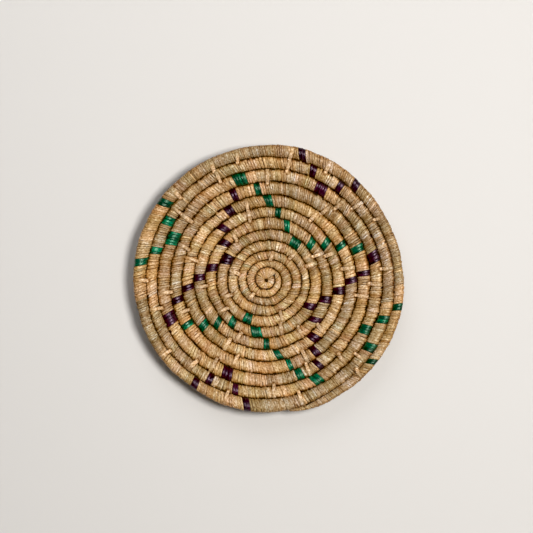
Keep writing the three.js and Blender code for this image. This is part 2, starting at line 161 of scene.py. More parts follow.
# Long stitches that tie a row to the row inside it: angles for each turn count
CATCH_STITCHES = {
    2: [223],
    3: [12, 284],
    4: [46.8, 157, 248],
    5: [70.8, 162.6, 235, 324],
    6: [63.6, 146.4, 206, 264.6, 345],
    7: [67.8, 131.4, 211.4, 285.6, 345.4],
    8: [36.6, 81.6, 153, 201, 249.4, 292],
    9: [40, 99.4, 154.8, 212, 263, 308],
    10: [0.6, 44, 92, 136, 176, 221, 255.4, 308, 335],
    11: [10.8, 50.4, 84.4, 129.4, 163.8, 199, 234, 270, 314, 334.6, 346.6],
    12: [11, 28.6, 61, 135],
}

# How far the edge between two rows wanders out of the plain spiral, in tenths of a mm, 16 values a
# turn: from half a turn after the first row's count, out to the rim
WANDER_FROM = 1.5
WANDER_STEPS = 16
WANDER_SOFT = 9
WANDER = [
    0, -4, 10, 5, 2, 2, -1, -8, -19, -14, -2, 9, 15, 22, 7, 4,
    -1, -13, -10, 0, -1, -5, -10, -10, -16, -14, -6, 12, 21, 24, 9, -3,
    0, -2, 8, 13, 13, -4, -7, -7, -8, -6, -2, -5, 2, 6, 8, 0,
    7, 13, 19, 10, 15, 12, 8, 1, -6, 4, 2, -8, 10, 22, 22, 12,
    7, 14, 22, -4, 16, 17, 6, -5, 4, 14, 3, -7, 4, 27, 29, 12,
    24, 8, 9, 14, 18, 15, 12, -1, -8, 0, -3, -5, 8, 30, 14, 15,
    18, 6, 9, 15, 30, 6, 8, -16, -8, 0, -14, 2, 9, 30, 15, 11,
    25, 8, 12, 28, 22, -4, -8, -1, -8, 12, -1, 11, 29, 24, 16, 8,
    17, 23, 17, 30, 23, 0, -8, 4, 2, 14, 3, 0, 27, 24, 14, 5,
    14, 16, 9, 22, 7, -6, -13, -7, 4, 8, 5, -10, 15, 24, 13, -7,
    21, 15, -17, -5, -8, 0, -9, -11, -16, 3, -15, -30, -11, 14, 4, -26,
]

# Tones of the strands: colour as seen, width of one lap, how much its shade varies and how
# deep its gaps are. Light strands are broad and even, and the dyed ones lie nearly flat.
TONES = {
    "olive": ((166, 137, 99), 2.2, 0.16, 1),
    "grey": ((165, 139, 102), 2.1, 0.17, 1),
    "tan": ((180, 147, 104), 2.5, 0.17, 1),
    "light": ((192, 156, 111), 2.9, 0.1, 0.85),
    "pink": ((176, 144, 105), 2.6, 0.12, 0.9),
    "orange": ((194, 155, 109), 2.8, 0.1, 0.75),
    "yellow": ((199, 164, 118), 2.6, 0.1, 0.7),
    "green": ((0, 69, 46), 2.7, 0.65, 0.5),
    "purple": ((37, 10, 22), 2.7, 0.6, 0.5),
}

DYED_TONES = ("green", "purple")

# Some bands have taken more dye than others
BAND_SHADE = (0.6, 1.5)

DEGREE = math.pi / 180
HALF_PI = math.pi / 2
EDGE_STEPS = 96

# Strands carried on under others, the core, and the sewing between rows, which closes the furrow
# from behind. The core and the sewing are painted dark, as shade.
STRIP_STEPS = 120
BRIDGE_PROUD = 0.05
ROPE_STEPS = 60
ROPE_SIDES = 8
CORE_UNDER = 2.1
CORE_LEAST = (0.5, 0.4)
CORE_INSET = (0.002, 0.004)
CORE_SHADE = 0.2
SEWING_WIDE = 0.9
SEWING_THICK = 1.6
SEWING_FULL = 3
SEWING_INNER = (-0.03, 0.98)
SEWING_STOPS = 1.02

# Catch stitches: how far round the inner row they reach, and the pits that their ends make
STITCH_STEPS = 30
STITCH_WIDTH = 4.4
STITCH_TAPER = 0.8
STITCH_THICK = 0.6
STITCH_START = 82 * DEGREE
STITCH_TIP = 34 * DEGREE
PIT_DEPTH = 0.9

# The ribbon's section: share of half its width and of its thickness, and the painted light and
# shade on each point. The ribbon is paler than the light strand by the tint.
STITCH_RING = [(-1, 0.3), (-0.9, 0.85), (-0.45, 1), (0.45, 1), (0.9, 0.85), (1, 0.3),
               (0.7, -0.6), (-0.7, -0.6)]
STITCH_EDGE = np.array([0.5, 0.85, 1, 1, 0.85, 0.5, 0.4, 0.4])
STITCH_TINT = [1, 1.08, 1.3]

# Where along a stitch it turns pale (its paler tone, and painted light where it stands proud),
# rises, narrows and darkens (painted shade at its tip), as shares of its way
STITCH_PALES = (0.2, 0.42)
STITCH_RISES = (0.3, 0.5)
STITCH_NARROWS = (0.75, 1)
STITCH_DARKENS = (0.93, 0.99)
STITCH_IN = (0, 0.1)
STITCH_OUT = (0.93, 1)

# How deep it lies at its start and tip and how far it rises between, how dark its tip is in
# painted shade, and how much stitches differ in width, slant and brightness, partly painted light
STITCH_DEPTHS = (1.2, 1.5, 0.3)
STITCH_TIP_SHADE = 0.5
STITCH_VARIES = (0.85, 1.15)
STITCH_SKEW = (-1.5, 0.3)
STITCH_BRIGHT = (1, 1.5)
STITCH_APART = 500
PATH_STEPS = 24


def linear(tone):
    """The tone's colour, made linear."""
    share = np.array(TONES[tone][0], float) / 255
    return np.where(share <= 0.04045, share / 12.92, ((share + 0.055) / 1.055) ** 2.4)


def smoothstep(value, low, high):
    share = np.clip((value - low) / (high - low), 0, 1)
    return share * share * (3 - 2 * share)


def stacked(*parts):
    """The parts side by side along a new last axis."""
    return np.stack(parts, axis=-1)


def waves(place, table, start=0):
    """The start plus a sum of sine waves: for each its height, number and phase."""
    return sum((height * np.sin(count * place + phase) for height, count, phase in table), start)


# The spiral
def turn_at(count, angle):
    return count + (angle - END_ANGLE) / 360


def angle_at(turn):
    return (turn * 360 + END_ANGLE) * DEGREE


START_TURN = turn_at(1, START_ANGLE)
STRANDS = [
    ("%s_turn_%d" % (name, number + i), name.split("_")[0],
     [(turn_at(count + i, low), turn_at(count + i, high))
      for low, high in zip(ends[::2], ends[1::2])])
    for name, number, count, strands in STRAND_SETS
    for i, ends in enumerate(strands)
]
BANDS = sorted(band for _, _, bands in STRANDS for band in bands)


def slope_at(radius):
    return 2 * RISE * np.maximum(0, radius - FLAT_RADIUS) / RISE_RUN**2


def row_edges():
    """The radius of the edge between rows, for each step of a turn."""
    edges = [SPIRAL_RADIUS]
    for i in range((TURNS + 1) * EDGE_STEPS):
        row = min(CORD_AT_START + CORD_GROWTH * (i + 0.5) / EDGE_STEPS, CORD_FULL)
        edges.append(edges[-1] + row / math.hypot(1, slope_at(edges[-1])) / EDGE_STEPS)
    return np.array(edges) + wander(np.arange(len(edges)) / EDGE_STEPS)


def wander(turns):
    """The edges' way out of the spiral, rounded off between the values of the table."""
    places = WANDER_FROM + np.arange(-1, len(WANDER)) / WANDER_STEPS
    pull = np.interp(turns, places, np.array([0] + WANDER) / 10)
    soft = np.hanning(WANDER_SOFT)
    return np.convolve(pull, soft / soft.sum(), mode="same")


EDGES = row_edges()


def edge_at(turn):
    radius = np.interp(turn * EDGE_STEPS, np.arange(len(EDGES)), EDGES)
    return np.maximum(radius, BUTTON_RADIUS)


def tail_width(turn):
    thin = smoothstep(turn, TAIL_THIN_FROM, TAIL_THIN_FROM + TAIL_THIN_OVER)
    tip = np.clip((turn - TIP_FROM) / (TURNS - TIP_FROM), 0, 1)
    width = 1 + (TAIL_WIDTH - 1) * thin
    return width + (TIP_WIDTH - width) * tip


def section(turn):
    """The row at a turn: radius of its middle, tilt of the dish, half its width and thickness."""
    inner = edge_at(turn - 0.5)
    outer = inner + (edge_at(turn + 0.5) - inner) * tail_width(turn)
    radius = (inner + outer) / 2
    tilt = np.arctan(slope_at(radius))
    width = (outer - inner) / np.cos(tilt) - ROW_GAP
    return radius, tilt, width / 2, width * math.sqrt(3) / 4


def rise_at(radius):
    return RISE * (np.maximum(0, radius - FLAT_RADIUS) / RISE_RUN) ** 2


# The rows' small waves, in mm: height, number, and the radius over which the phase turns. They
# fade in over the radii below.
WARPS = ((0.2, 17, 9), (0.15, 29, -8))
WARP_FADES = (18, 70)


def warped(x, z):
    """Moves points of the winding a little to and fro, the same way for all rows."""
    radius = np.hypot(x, z)
    table = [(height, count, radius / over) for height, count, over in WARPS]
    wave = waves(np.arctan2(x, z), table)
    share = 1 + wave * smoothstep(radius, *WARP_FADES) / np.maximum(radius, 1)
    return x * share, z * share


def row_point(turn, along, front):
    """A place from the row's middle along and out of the dish's surface, as radius and depth."""
    radius, tilt, _, half_thick = section(turn)
    outward = radius + along * np.cos(tilt) - front * np.sin(tilt)
    return outward, -half_thick - rise_at(radius) - along * np.sin(tilt) - front * np.cos(tilt)


def placed(radius, depth, angle):
    """The point at this radius, depth and angle, warped."""
    x, z = warped(radius * np.sin(angle), radius * np.cos(angle))
    return stacked(x, depth, z)


def winding_point(turn, along, front):
    return placed(*row_point(turn, along, front), angle_at(turn))


SWELL = 0.018
SWELL_WAVES = (41.3, 17.7)
LEAN_WAVES = ((0.9, 23.1, 0.6), (0.5, 61.7, 0))


def winding_size(turn):
    _, _, half_wide, half_thick = section(turn)
    quick, slow = SWELL_WAVES
    swell = 1 - SWELL * (1 + np.sin(turn * quick) * np.sin(turn * slow + 1))
    return (half_wide + ROW_TOUCH) * swell, half_thick * swell


def winding_lean(turn):
    return waves(turn, LEAN_WAVES, LAP_LEAN)


def winding_run(turn):
    """Millimetres of cord in one turn there."""
    return math.tau * section(turn)[0]


def turns_for(length, turn):
    return length / float(winding_run(turn))


# The button: its hole, how far it stands out of the first row and short of it, in turns, and half
# the length, width and thickness of the strands that cross behind the hole. These are painted dark
# brown, as the shade in the hole.
HOLE_RADIUS = 0.95
HOLE_WAVES = ((0.22, 2, 0.7), (0.14, 5, 0))
HOLE_DEPTH = 3
BUTTON_RISE = 0.55
BUTTON_STOPS = 0.001
CROSSING = (4.2, 1.5, 0.3)
CROSSING_ANGLES = (0.35, 1.4, 2.5)
CROSSING_STEP = 0.7
CROSSING_LIGHT = 1.6


def button_edges(turn):
    uneven = waves(angle_at(turn), HOLE_WAVES, 1)
    return HOLE_RADIUS * uneven, edge_at(turn + 0.5) - ROW_GAP / 2


def button_size(turn):
    inner, outer = button_edges(turn)
    thick = section(START_TURN)[3] + BUTTON_RISE * smoothstep(turn, START_TURN - 1, START_TURN)
    return (outer - inner) / 2, thick


def button_point(turn, along, front):
    inner, outer = button_edges(turn)
    radius = (inner + outer) / 2 + along
    angle = angle_at(turn)
    y = -button_size(turn)[1] - front
    return stacked(radius * np.sin(angle), y, radius * np.cos(angle))


def button_run(turn):
    inner, outer = button_edges(turn)
    return math.pi * (inner + outer)


# Meshes
class Skin:
    """The vertices and quads of one mesh, with a colour and a place on the strand for each
    corner, and the chance that it is made by."""

    def __init__(self, seed=0):
        self.chance = np.random.default_rng(seed)
        self.points = []
        self.count = 0
        self.faces = []
        self.colours = []
        self.places = []

    def add(self, points, faces, colours, places, gloss_share=1):
        """The colours and how glossy the strand is there are kept for each corner."""
        colours = colours.reshape(-1, 3)
        gloss_share = np.broadcast_to(np.reshape(gloss_share, (-1, 1)), (len(colours), 1))
        self.points.append(points.reshape(-1, 3))
        self.faces.append(faces + self.count)
        self.colours.append(np.concatenate([colours, gloss_share], axis=1))
        self.places.append(places)
        self.count += len(self.points[-1])

    def add_plain(self, points, faces, colour, gloss_share=1):
        """Adds faces of one colour."""
        corners = (len(faces), 4)
        self.add(points, faces, np.tile(colour, corners + (1,)), np.zeros(corners + (2,)), gloss_share)

    def mesh(self, name):
        faces = np.concatenate(self.faces)
        colours = np.concatenate(self.colours).reshape(-1, 4)
        places = np.concatenate(self.places).reshape(-1, 2)
        data = bpy.data.meshes.new(name)
        data.vertices.add(self.count)
        data.vertices.foreach_set("co", (np.concatenate(self.points) * MM).ravel())
        data.loops.add(faces.size)
        data.loops.foreach_set("vertex_index", faces.ravel())
        data.polygons.add(len(faces))
        data.polygons.foreach_set("loop_start", np.arange(len(faces)) * 4)
        layer = data.uv_layers.new(name="strand")
        layer.data.foreach_set("uv", (places * 0.01).ravel())
        paint = data.color_attributes.new("tone", "FLOAT_COLOR", "CORNER")
        paint.data.foreach_set("color", colours.ravel())
        data.update(calc_edges=True)
        data.validate()
        data.shade_smooth()
        return data


def tube_faces(rings, sides):
    """The quads between the rings of a tube."""
    j = np.arange(rings - 1)[:, None] * sides
    k = np.arange(sides)
    n = (k + 1) % sides
    return stacked(j + k, j + sides + k, j + sides + n, j + n).reshape(-1, 4)


def turned_over(faces):
    """The same quads seen from their other side, from the same first corner."""
    return np.roll(faces[:, ::-1], 1, axis=1)


# Each lap has four rings: their places along it, and two ways in which it rises over them
LAP_PLACES = np.array([0, 0.2, 0.65, 1])
LAP_RINGS = len(LAP_PLACES)
LAP_CROWN = np.array([0.05, 0.95, 0.95, 0])
LAP_SHINGLE = np.array([0.6, 1, 0.7, 0.05])

# The brown of the dust and painted shade in the furrows. Shaded straw turns warmer as it darkens,
# and the row's flanks are painted darker, as shade.
DUST_AND_SHADE = np.array([0.014, 0.005, 0.001])
WARMER = np.array([0.92, 1.3, 2])
FLANK_SHADE = np.array([0.08, 0.33, 0.85])
GAP_SHADE = 0.94
GAP_OPENS = 0.55
LAP_GLOW = 0.075
FURROW_CLOSES = 11.7
BUTTON_CLOSES = 0.74

# How much laps differ in width, and the least and greatest against the mean
PITCH_VARIES = 0.26
PITCH_LIMITS = (0.45, 1.8)

# How high a lap rises: in all, by its weave and by its gaps. How bright a lap is, and a little
# more painted light two thirds of the way across it.
LAP_RISE = (0.25, 0.2, 1.1)
GAP_POWER = 1.9
LAP_BRIGHT = (0.97, 1.12)
LAP_GAIN = 0.03
SHADE_LIMITS = (0.5, 1.6)

# A gap opens and closes this often round the cord
GAP_WAVES = (3, 5)
GAP_LIMITS = (0.08, 1.05)

# How far the furrow is closed at the tail and round the button, which lessens its painted shade
TAIL_CLOSED = 0.6
BUTTON_CLOSED = 0.5
CLOSES_OVER = 0.2

# How much laps bulge and lie further in or out, and how much the furrow's edge wavers
BULGE = 0.38
LIFT = (-0.08, 0.1)
EDGE_WAVES = ((0.025, 97, 1), (0.02, 211, 0))
EDGE_VARIES = 0.045

# The furrow's painted dust and shade start at this share of the way to the row's side, and the
# teeth, painted shade in the gaps between laps, before it
FURROW_FROM = (0.79, 0.93)
TEETH_FROM = (0.5, 0.9)
TEETH_GROW = 1.1
TEETH_SHADE = 0.9
TEETH_DEPTH = 0.35

# Laps are flatter where the cord is thin, painted in shade at their ends and flanks, and dull in
# gaps. The rim's outer side bulges less, and has little of the painted dust and shade.
FLATTEST = 0.35
LAP_END_SHADE = 0.5
DARKEST_FLANK = 0.15
GAP_DULLS = 0.8
RIM_BULGE = 0.5
RIM_DUST_AND_SHADE = 0.1
RIM_FLANK = 0.3

# Small nicks of painted shade, where two laps part on the front of a row
NICK_CHANCE = 0.16
NICK_SPREAD = 1.2
NICK_SIZE = 0.25
NICK_SHADE = 0.9

# The painted shadow beside a catch stitch, how soft it is there and at its ends, and the pit at
# its tip, painted in shade
STITCH_EDGE_SHADOW = 0.96
STITCH_EDGE_OUT = 0.3
STITCH_EDGE_SOFT = (0.65, 0.2)
STITCH_LEAVES = -10 * DEGREE
PIT_SHADE = 0.95
PIT_WIDE = 1.3
PIT_STEEP = 5

# A sleeve's bore: half the least thickness, and the shade of its inside and of its ends
TIP_WALL = 3
BORE_LEAST = 0.25
BORE_SHADE = 0.35
BORE_END_LIGHT = 1.4

# How much the warmth of one lap differs, and which way warmth moves red, green and blue
WARMTH = 0.03
WARM_WAY = np.array([0.5, -0.2, -1])


def laps_between(start, end, run, weave, chance):
    """Rings of the laps from start to end: their turns, heights and shades, a row for each."""
    bounds = [start]
    reliefs = []
    while bounds[-1] < end:
        pitch, relief = weave(bounds[-1])
        width = pitch * np.clip(1 + PITCH_VARIES * chance.standard_normal(), *PITCH_LIMITS)
        bounds.append(bounds[-1] + width / float(run(bounds[-1])))
        reliefs.append(relief)
    if len(bounds) > 3:
        bounds.pop()
        reliefs.pop()
    relief = np.array(reliefs)
    bounds = start + (end - start) * (np.array(bounds) - start) / (bounds[-1] - start)
    count = len(bounds) - 1
    turns = bounds[:-1, None] + np.diff(bounds)[:, None] * LAP_PLACES
    mix = chance.uniform(0, 1, (count, 1))
    depth = chance.uniform(0, 1, count + 1) ** GAP_POWER
    deep = np.maximum(depth[:-1], depth[1:]) * relief
    plain, by_weave, by_gap = LAP_RISE
    height = LAP_HEIGHT * (plain + by_weave * relief + by_gap * deep)[:, None]
    heights = height * ((1 - mix) * LAP_CROWN + mix * LAP_SHINGLE)
    heights = heights + chance.uniform(*LIFT, (count, 1))
    middle = chance.uniform(*LAP_BRIGHT, count)
    before, after = 1 - GAP_SHADE * depth[:-1] * relief, 1 - GAP_SHADE * depth[1:] * relief
    shades = np.stack([before, middle, middle + LAP_GAIN, after], axis=1)
    return turns, heights, shades


def lap_colour(tone, chance):
    """A linear colour for one lap, from its tone, with a shade and a warmth of its own."""
    shade = np.clip(1 + TONES[tone][2] * chance.standard_normal(), *SHADE_LIMITS)
    warmth = WARMTH * chance.standard_normal() * WARM_WAY
    warmer = 1 if tone in DYED_TONES else WARMER
    return linear(tone) * shade**warmer * (1 + warmth)


def oval(half_wide, half_thick, around, height):
    """A point of the cord's section, at an angle from the front towards the rim."""
    sine, cosine = np.sin(around), np.cos(around)
    power = 2 / SQUARENESS
    along = half_wide * np.sign(sine) * np.abs(sine) ** power
    front = half_thick * np.sign(cosine) * np.abs(cosine) ** power
    size = np.hypot(half_thick * sine, half_wide * cosine)
    return along + height * half_thick * sine / size, front + height * half_wide * cosine / size


def uneven_shade(shades, around, chance):
    """The rings' shades round the cord: a gap opens and closes on its way, and so does the light
    along a lap. The two rings of one gap open in the same places."""
    rings = np.arange(len(shades))
    phases = chance.uniform(0, math.tau, (2, len(shades) // LAP_RINGS + 1))
    first, second = phases[:, (rings + 1) // LAP_RINGS, None]
    wave = waves(around, ((1, GAP_WAVES[0], first), (1, GAP_WAVES[1], -second)))
    gap = ((rings % LAP_RINGS == 0) | (rings % LAP_RINGS == LAP_RINGS - 1))[:, None]
    shade = shades[:, None]
    opened = np.clip(1 - (1 - shade) * (1 + GAP_OPENS * wave), *GAP_LIMITS)
    return np.where(gap, opened, shade * (1 + LAP_GLOW * wave))


def closed_furrows(outside):
    """How far a furrow is closed, at the tail and round the button: its painted dust and shade and
    its flanks' painted shade are lessened by this much.
    """
    tail = TAIL_CLOSED * smoothstep(outside, FURROW_CLOSES, FURROW_CLOSES + CLOSES_OVER)
    away = (outside - START_TURN - BUTTON_CLOSES) / CLOSES_OVER
    return tail + BUTTON_CLOSED * np.exp(-(away**2))


def apart(around, angle):
    """The angle between two places round the cord, from -pi to pi."""
    return (around - angle + math.pi) % (math.tau) - math.pi


def nicks_on(count, around, chance):
    """The painted shade of small nicks on some of the laps, at the first ring of each."""
    nicks = chance.uniform(0, 1, count) < NICK_CHANCE
    places = np.repeat(chance.uniform(-NICK_SPREAD, NICK_SPREAD, count), LAP_RINGS)
    near = np.exp(-(apart(around, places[:, None]) / NICK_SIZE) ** 2)
    first_ring = np.arange(count * LAP_RINGS) % LAP_RINGS == 0
    return NICK_SHADE * (near * np.repeat(nicks, LAP_RINGS)[:, None]) * first_ring[:, None]


def mark_stitches(stitches, leaned, run_here, around, height, dust_and_shade):
    """Paints shadow on the laps along both edges of each stitch, and sinks a pit under its tip,
    painted in shade.
    """
    beside, end = STITCH_EDGE_SOFT
    for stitch in stitches:
        for row, into, begin in ((stitch - 1, 1, STITCH_TIP), (stitch, -1, STITCH_LEAVES)):
            across = (leaned - row) * run_here[:, None]
            down = into * apart(around, begin)
            away = (np.abs(across) - STITCH_WIDTH / 2 - STITCH_EDGE_OUT) / beside
            edge = np.exp(-(away**2)) * smoothstep(down, -end, end) * (down < HALF_PI)
            dust_and_shade = np.maximum(dust_and_shade, STITCH_EDGE_SHADOW * edge)
            if into > 0:
                pit = np.exp(-((across / PIT_WIDE) ** 2 + (down * PIT_STEEP) ** 2))
                height = height - PIT_DEPTH * pit
                dust_and_shade = np.maximum(dust_and_shade, PIT_SHADE * pit)
    return height, dust_and_shade


def add_laps(skin, start, end, shape, tones, stitches=(), bore=None):
    """Adds one stretch of laps: their outside, a plain bore, and the ends between the two. A
    stretch without a bore closes on itself."""
    point, size, lean, run, weave = shape
    chance = skin.chance
    lap_turns, lap_heights, lap_shades = laps_between(start, end, run, weave, chance)
    count = len(lap_turns)
    turns, heights, shades = lap_turns.ravel(), lap_heights.ravel(), lap_shades.ravel()
    rings = len(turns)
    around = np.arange(SIDES) * math.tau / SIDES
    run_here = run(turns)
    leaned = turns[:, None] + lean(turns)[:, None] * np.sin(around) / run_here[:, None]
    half_wide, half_thick = size(leaned)
    side = np.abs(np.sin(around))
    rimward = np.sin(around) > 0
    at_rim = rimward[None, :] & (turns > TURNS - 1)[:, None]
    bulge = np.repeat(chance.normal(0, BULGE, (count, 2)), LAP_RINGS, axis=0)
    bulge = np.where(rimward, bulge[:, :1], bulge[:, 1:]) * np.where(at_rim, RIM_BULGE, 1)
    flatter = np.clip(half_thick / THICK_ENOUGH, FLATTEST, 1)
    height = (heights[:, None] + bulge * side**4) * flatter

    # The furrows' painted dust and shade, and its teeth: painted shade in the gaps between the
    # laps
    shade = uneven_shade(shades, around, chance)
    spread = waves(turns, EDGE_WAVES) + np.repeat(chance.normal(0, EDGE_VARIES, count), LAP_RINGS)
    parted = np.clip(TEETH_GROW * (1 - shade), 0, 1)
    teeth = parted * smoothstep(side, *TEETH_FROM)
    furrow = smoothstep(side + spread[:, None], *FURROW_FROM)
    open_here = 1 - closed_furrows(turns[:, None] + rimward)
    dust_and_shade = np.where(at_rim, RIM_DUST_AND_SHADE, open_here) * np.maximum(furrow, TEETH_SHADE * teeth)
    height = height - TEETH_DEPTH * teeth
    dust_and_shade = np.maximum(dust_and_shade, nicks_on(count, around, chance))
    height, dust_and_shade = mark_stitches(stitches, leaned, run_here, around, height, dust_and_shade)
    along, front = oval(half_wide, half_thick, around[None, :], height)
    points = point(leaned, along, front)

    colours = np.array([tones(turn, chance) for turn in lap_turns.mean(axis=1)])
    first = np.arange(rings - 1 if bore else rings)
    second = (first + 1) % rings
    wall = first % LAP_RINGS == LAP_RINGS - 1
    # The end walls of the laps are painted in shade
    face_colour = colours[first // LAP_RINGS] * np.where(wall[:, None], LAP_END_SHADE**WARMER, 1)
    k = np.arange(SIDES)
    n = (k + 1) % SIDES
    corners = ((first, k), (second, k), (second, n), (first, n))
    faces = stacked(*[ring[:, None] * SIDES + place for ring, place in corners])

    def at_corners(values):
        return stacked(*[values[ring][:, place] for ring, place in corners])[..., None]

    corner_dust_and_shade = at_corners(dust_and_shade)
    # The flanks are painted darker towards the row's sides, as shade
    flank_shade = np.maximum(np.abs(np.cos(around)), DARKEST_FLANK)
    flank_shade = flank_shade ** np.where(at_rim, RIM_FLANK, open_here)
    # The laps' colour, with painted shade in the gaps and on the flanks, and the furrows' painted
    # dust and shade
    painted = face_colour[:, None, None, :] * (at_corners(shade) * (1 - corner_dust_and_shade)) ** WARMER
    painted = painted * at_corners(flank_shade) ** FLANK_SHADE + DUST_AND_SHADE * corner_dust_and_shade
    distance = (turns - start) * run_here
    girth = np.arange(SIDES + 1) / SIDES * STRAND_GIRTH
    u = stacked(*[distance[ring] for ring, _ in corners])[:, None, :]
    v = stacked(girth[:-1], girth[:-1], girth[1:], girth[1:])[None, :, :]
    places = stacked(*np.broadcast_arrays(u, v))
    dull = np.maximum(corner_dust_and_shade, GAP_DULLS * at_corners(parted))
    skin.add(points, faces.reshape(-1, 4), painted, places.reshape(-1, 4, 2), 1 - dull)
    if bore:
        add_bore(skin, points, turns, around, bore, colours)


def add_bore(skin, points, turns, around, bore, colours):
    """The inside of a sleeve, and the two ends that join it to the outside just added."""
    point, size, wall, every = bore
    count = max(2, int(abs(turns[-1] - turns[0]) / every) + 2)
    inner_turns = np.linspace(turns[0], turns[-1], count)[:, None] + np.zeros(SIDES)
    half_wide, half_thick = size(inner_turns)
    shrink = np.maximum(half_thick - wall, BORE_LEAST) / half_thick
    along, front = oval(half_wide * shrink, half_thick * shrink, around[None, :], 0)
    base = skin.count
    dark = colours[0] * BORE_SHADE
    skin.add_plain(point(inner_turns, along, front), turned_over(tube_faces(count, SIDES)), dark)
    first_out = base - points.shape[0] * SIDES
    last_out = base - SIDES
    last_in = base + (count - 1) * SIDES
    k = np.arange(SIDES)
    n = (k + 1) % SIDES
    ends = np.concatenate([
        stacked(first_out + k, first_out + n, base + n, base + k),
        stacked(last_out + n, last_out + k, last_in + k, last_in + n),
    ])
    skin.add_plain(np.zeros(0), ends - skin.count, dark * BORE_END_LIGHT)


def add_strip(skin, start, end, half_wide, low, high, colour):
    """A flat strand that runs along inside the winding, such as one carried under a band."""
    count = max(2, int((end - start) * STRIP_STEPS) + 2)
    turns = np.linspace(start, end, count)
    half_thick = section(turns)[3]
    corners = []
    for side, level in ((1, low), (1, high), (-1, high), (-1, low)):
        front = np.sign(level) * (half_thick - abs(level))
        corners.append(winding_point(turns, side * half_wide, front))
    last = (count - 1) * 4
    caps = np.array([[3, 2, 1, 0], [last, last + 1, last + 2, last + 3]])
    faces = np.concatenate([turned_over(tube_faces(count, 4)), caps])
    skin.add_plain(np.stack(corners, axis=1), faces, colour)


def add_rope(skin, start, end, across, size, colour):
    """A plain cord along inside the winding, some way across from the middle of its row."""
    turns = np.linspace(start, end, int((end - start) * ROPE_STEPS) + 2)
    wide, thick = (np.broadcast_to(value, turns.shape)[:, None] for value in size(turns))
    around = np.arange(ROPE_SIDES) * math.tau / ROPE_SIDES
    middle = across * (section(turns)[2][:, None] + ROW_GAP / 2)
    points = winding_point(turns[:, None], middle + wide * np.sin(around), thick * np.cos(around))
    last = (len(turns) - 1) * ROPE_SIDES
    cap = np.array([[0, 1, 2, 3], [0, 3, 4, 5], [0, 5, 6, 7]])
    faces = np.concatenate([tube_faces(len(turns), ROPE_SIDES), cap, last + cap[:, ::-1]])
    skin.add_plain(points, faces, colour, 0)


# Tones along the winding
TONE_TABLE = sorted((turn_at(count, angle), tone) for count, stretches in TONE_STRETCHES.items()
                    for angle, tone in stretches.items())
TONE_STARTS = np.array([start for start, _ in TONE_TABLE])


def tone_of(turn):
    return TONE_TABLE[max(0, int(np.searchsorted(TONE_STARTS, turn)) - 1)][1]


def weave_of(tone):
    """How wide a lap of this tone is and how deep its gaps are."""
    return TONES[tone][1], TONES[tone][3]


# How far laps mix across a splice, in turns, and how often a lap of another strand turns up
SPLICE_MIXES = 0.0025
STRAY_CHANCE = 0.05
STRAY_TONES = ["light", "olive", "pink", "yellow"]

# A strand is lighter and darker along its way, and pinker or yellower
SLOW_STEPS = 90
SLOW_COUNT = (TURNS + 1) * SLOW_STEPS
SLOW_SHADE = np.random.default_rng(7).normal(1, 0.1, SLOW_COUNT)
SLOW_RED = np.random.default_rng(8).uniform(0.92, 1.08, SLOW_COUNT)
SLOW_BLUE = np.random.default_rng(9).uniform(0.84, 1.16, SLOW_COUNT)


def natural_tone(turn, chance):
    """The colour of a lap, now and then that of another strand, and mixed near a splice."""
    tone = tone_of(turn + chance.normal(0, SPLICE_MIXES))
    if chance.uniform() < STRAY_CHANCE:
        tone = chance.choice(STRAY_TONES)
    place = int(turn * SLOW_STEPS)
    share = turn * SLOW_STEPS - place
    slow, red, blue = (table[place] * (1 - share) + table[place + 1] * share
                       for table in (SLOW_SHADE, SLOW_RED, SLOW_BLUE))
    return lap_colour(tone, chance) * slow**WARMER * [red, 1, blue]


def toned(tone, shade=1):
    return lambda turn, chance: lap_colour(tone, chance) * shade


# Laps: point, size, lean, run and weave. Bores: point, size, wall, and steps in turns.
WINDING = (winding_point, winding_size, winding_lean, winding_run)
NATURAL_LAPS = WINDING + (lambda turn: weave_of(tone_of(turn)),)
DYED_LAPS = WINDING + (lambda turn: weave_of("green"),)
WRAP_BORE = WINDING[:2] + (WRAP_WALL, 0.02)
BAND_BORE = WINDING[:2] + (BAND_WALL, 0.01)
TIP_BORE = WINDING[:2] + (TIP_WALL, 0.01)
BUTTON_BORE = (button_point, button_size, WRAP_WALL, 0.05)

# Laps of the button and the loop, and of the loop's stitches: width and depth of gap
CORD_WEAVE = (1.9, 0.6)
RING_WEAVE = (3, 0.12)

# Where each kind of piece starts to count its seeds
WRAP_SEED = 100
TAIL_SEED = 130
TIP_SEED = 131
BUTTON_SEED = 150
STRAND_SEED = 200
CATCH_SEED = 300
LOOP_SEED = 400
LOOP_STITCH_SEED = 410
SHADE_SEED = 500


def stitches_on(start, end):
    """The catch stitches that begin on this stretch or go into it from the row outside it."""
    turns = [turn_at(count, angle) for count in CATCH_STITCHES for angle in CATCH_STITCHES[count]]
    return [turn for turn in turns if start < turn < end or start < turn - 1 < end]


# Materials
def feed(tree, made, *values, **named):
    """Sets the node's inputs, the first ones in order and others by name. Sockets are linked."""
    for key, value in [*enumerate(values), *named.items()]:
        socket = made.inputs[key.replace("_", " ") if isinstance(key, str) else key]
        if isinstance(value, bpy.types.NodeSocket):
            tree.links.new(value, socket)
        else:
            socket.default_value = value
    return made


def node(tree, kind, *values, **named):
    return feed(tree, tree.nodes.new("ShaderNode" + kind), *values, **named)


def math_node(tree, operation, first, second):
    made = node(tree, "Math", first, second)
    made.operation = operation
    return made.outputs["Value"]


def map_range(tree, value, to, source=(0, 1)):
    """Maps the value from the source's range to another."""
    return node(tree, "MapRange", Value=value, From_Min=source[0], From_Max=source[1],
                To_Min=to[0], To_Max=to[1]).outputs["Result"]


def new_material(name):
    material = bpy.data.materials.new(name)
    material.use_nodes = True
    return material, material.node_tree


def noise_on(tree, place, scale, detail, roughness):
    spread = node(tree, "Mapping", Vector=place.outputs["UV"], Scale=scale)
    noise = node(tree, "TexNoise", Vector=spread.outputs["Vector"], Scale=1, Detail=detail,
                 Roughness=roughness)
    return noise.outputs["Fac"]


